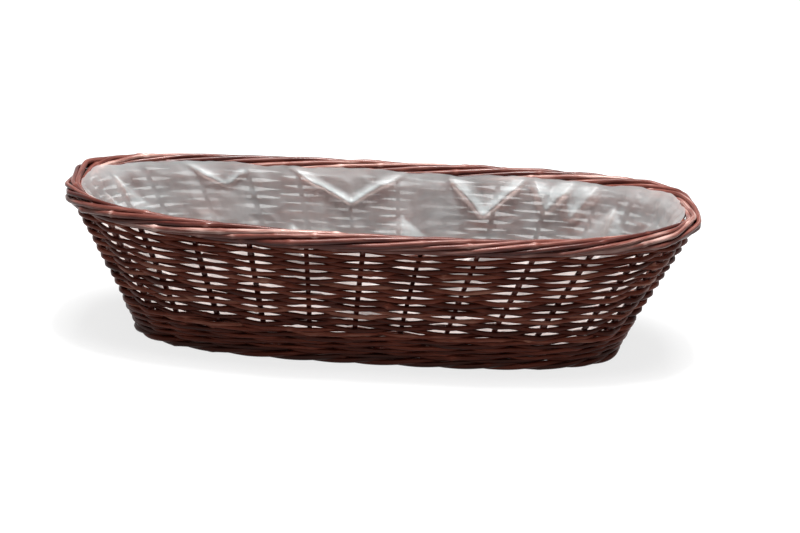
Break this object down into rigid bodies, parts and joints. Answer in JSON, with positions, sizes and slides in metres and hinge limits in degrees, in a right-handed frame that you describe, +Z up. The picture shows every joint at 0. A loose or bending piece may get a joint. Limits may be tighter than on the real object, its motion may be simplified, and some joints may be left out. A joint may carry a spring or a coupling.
{
  "type": "wicker planter",
  "caption": "Long oval planter box woven from stained willow rods, with flared open-weave sides, a rolled border, a waled foot and a translucent film liner.",
  "frame": {"origin": "on the floor, under the middle of the planter", "axes": "+X along the length, +Y towards the back of the pictured view, +Z up"},
  "size_m": [0.5992, 0.2102, 0.1539],
  "materials": {
    "willow_stakes": "red-brown stain under satin lacquer",
    "willow_weave": "red-brown stain under satin lacquer",
    "willow_base": "red-brown stain, thin lacquer",
    "film": "translucent milky polyethylene film"
  },
  "bodies": {
    "root": {"stake_01": "willow_stakes", "stake_02": "willow_stakes", "stake_03": "willow_stakes", "stake_04": "willow_stakes", "stake_05": "willow_stakes", "stake_06": "willow_stakes", "stake_07": "willow_stakes", "stake_08": "willow_stakes", "stake_09": "willow_stakes", "stake_10": "willow_stakes", "stake_11": "willow_stakes", "stake_12": "willow_stakes", "stake_13": "willow_stakes", "stake_14": "willow_stakes", "stake_15": "willow_stakes", "stake_16": "willow_stakes", "stake_17": "willow_stakes", "stake_18": "willow_stakes", "stake_19": "willow_stakes", "stake_20": "willow_stakes", "stake_21": "willow_stakes", "stake_22": "willow_stakes", "stake_23": "willow_stakes", "stake_24": "willow_stakes", "stake_25": "willow_stakes", "stake_26": "willow_stakes", "stake_27": "willow_stakes", "stake_28": "willow_stakes", "stake_29": "willow_stakes", "stake_30": "willow_stakes", "side_weaver_01": "willow_weave", "side_weaver_02": "willow_weave", "wale_rod_01": "willow_weave", "wale_rod_02": "willow_weave", "wale_rod_03": "willow_weave", "foot_rod_01": "willow_weave", "foot_rod_02": "willow_weave", "foot_rod_03": "willow_weave", "cross_stick_01": "willow_base", "cross_stick_02": "willow_base", "cross_stick_03": "willow_base", "cross_stick_04": "willow_base", "cross_stick_05": "willow_base", "cross_stick_06": "willow_base", "cross_stick_07": "willow_base", "cross_stick_08": "willow_base", "cross_stick_09": "willow_base", "cross_stick_10": "willow_base", "long_stick_01": "willow_base", "long_stick_02": "willow_base", "long_stick_03": "willow_base", "long_stick_04": "willow_base", "long_stick_05": "willow_base", "base_weaver_01": "willow_base", "base_weaver_02": "willow_base", "base_packing_back": "willow_base", "base_packing_front": "willow_base", "film_liner": "film"}
  },
  "joints": []
}
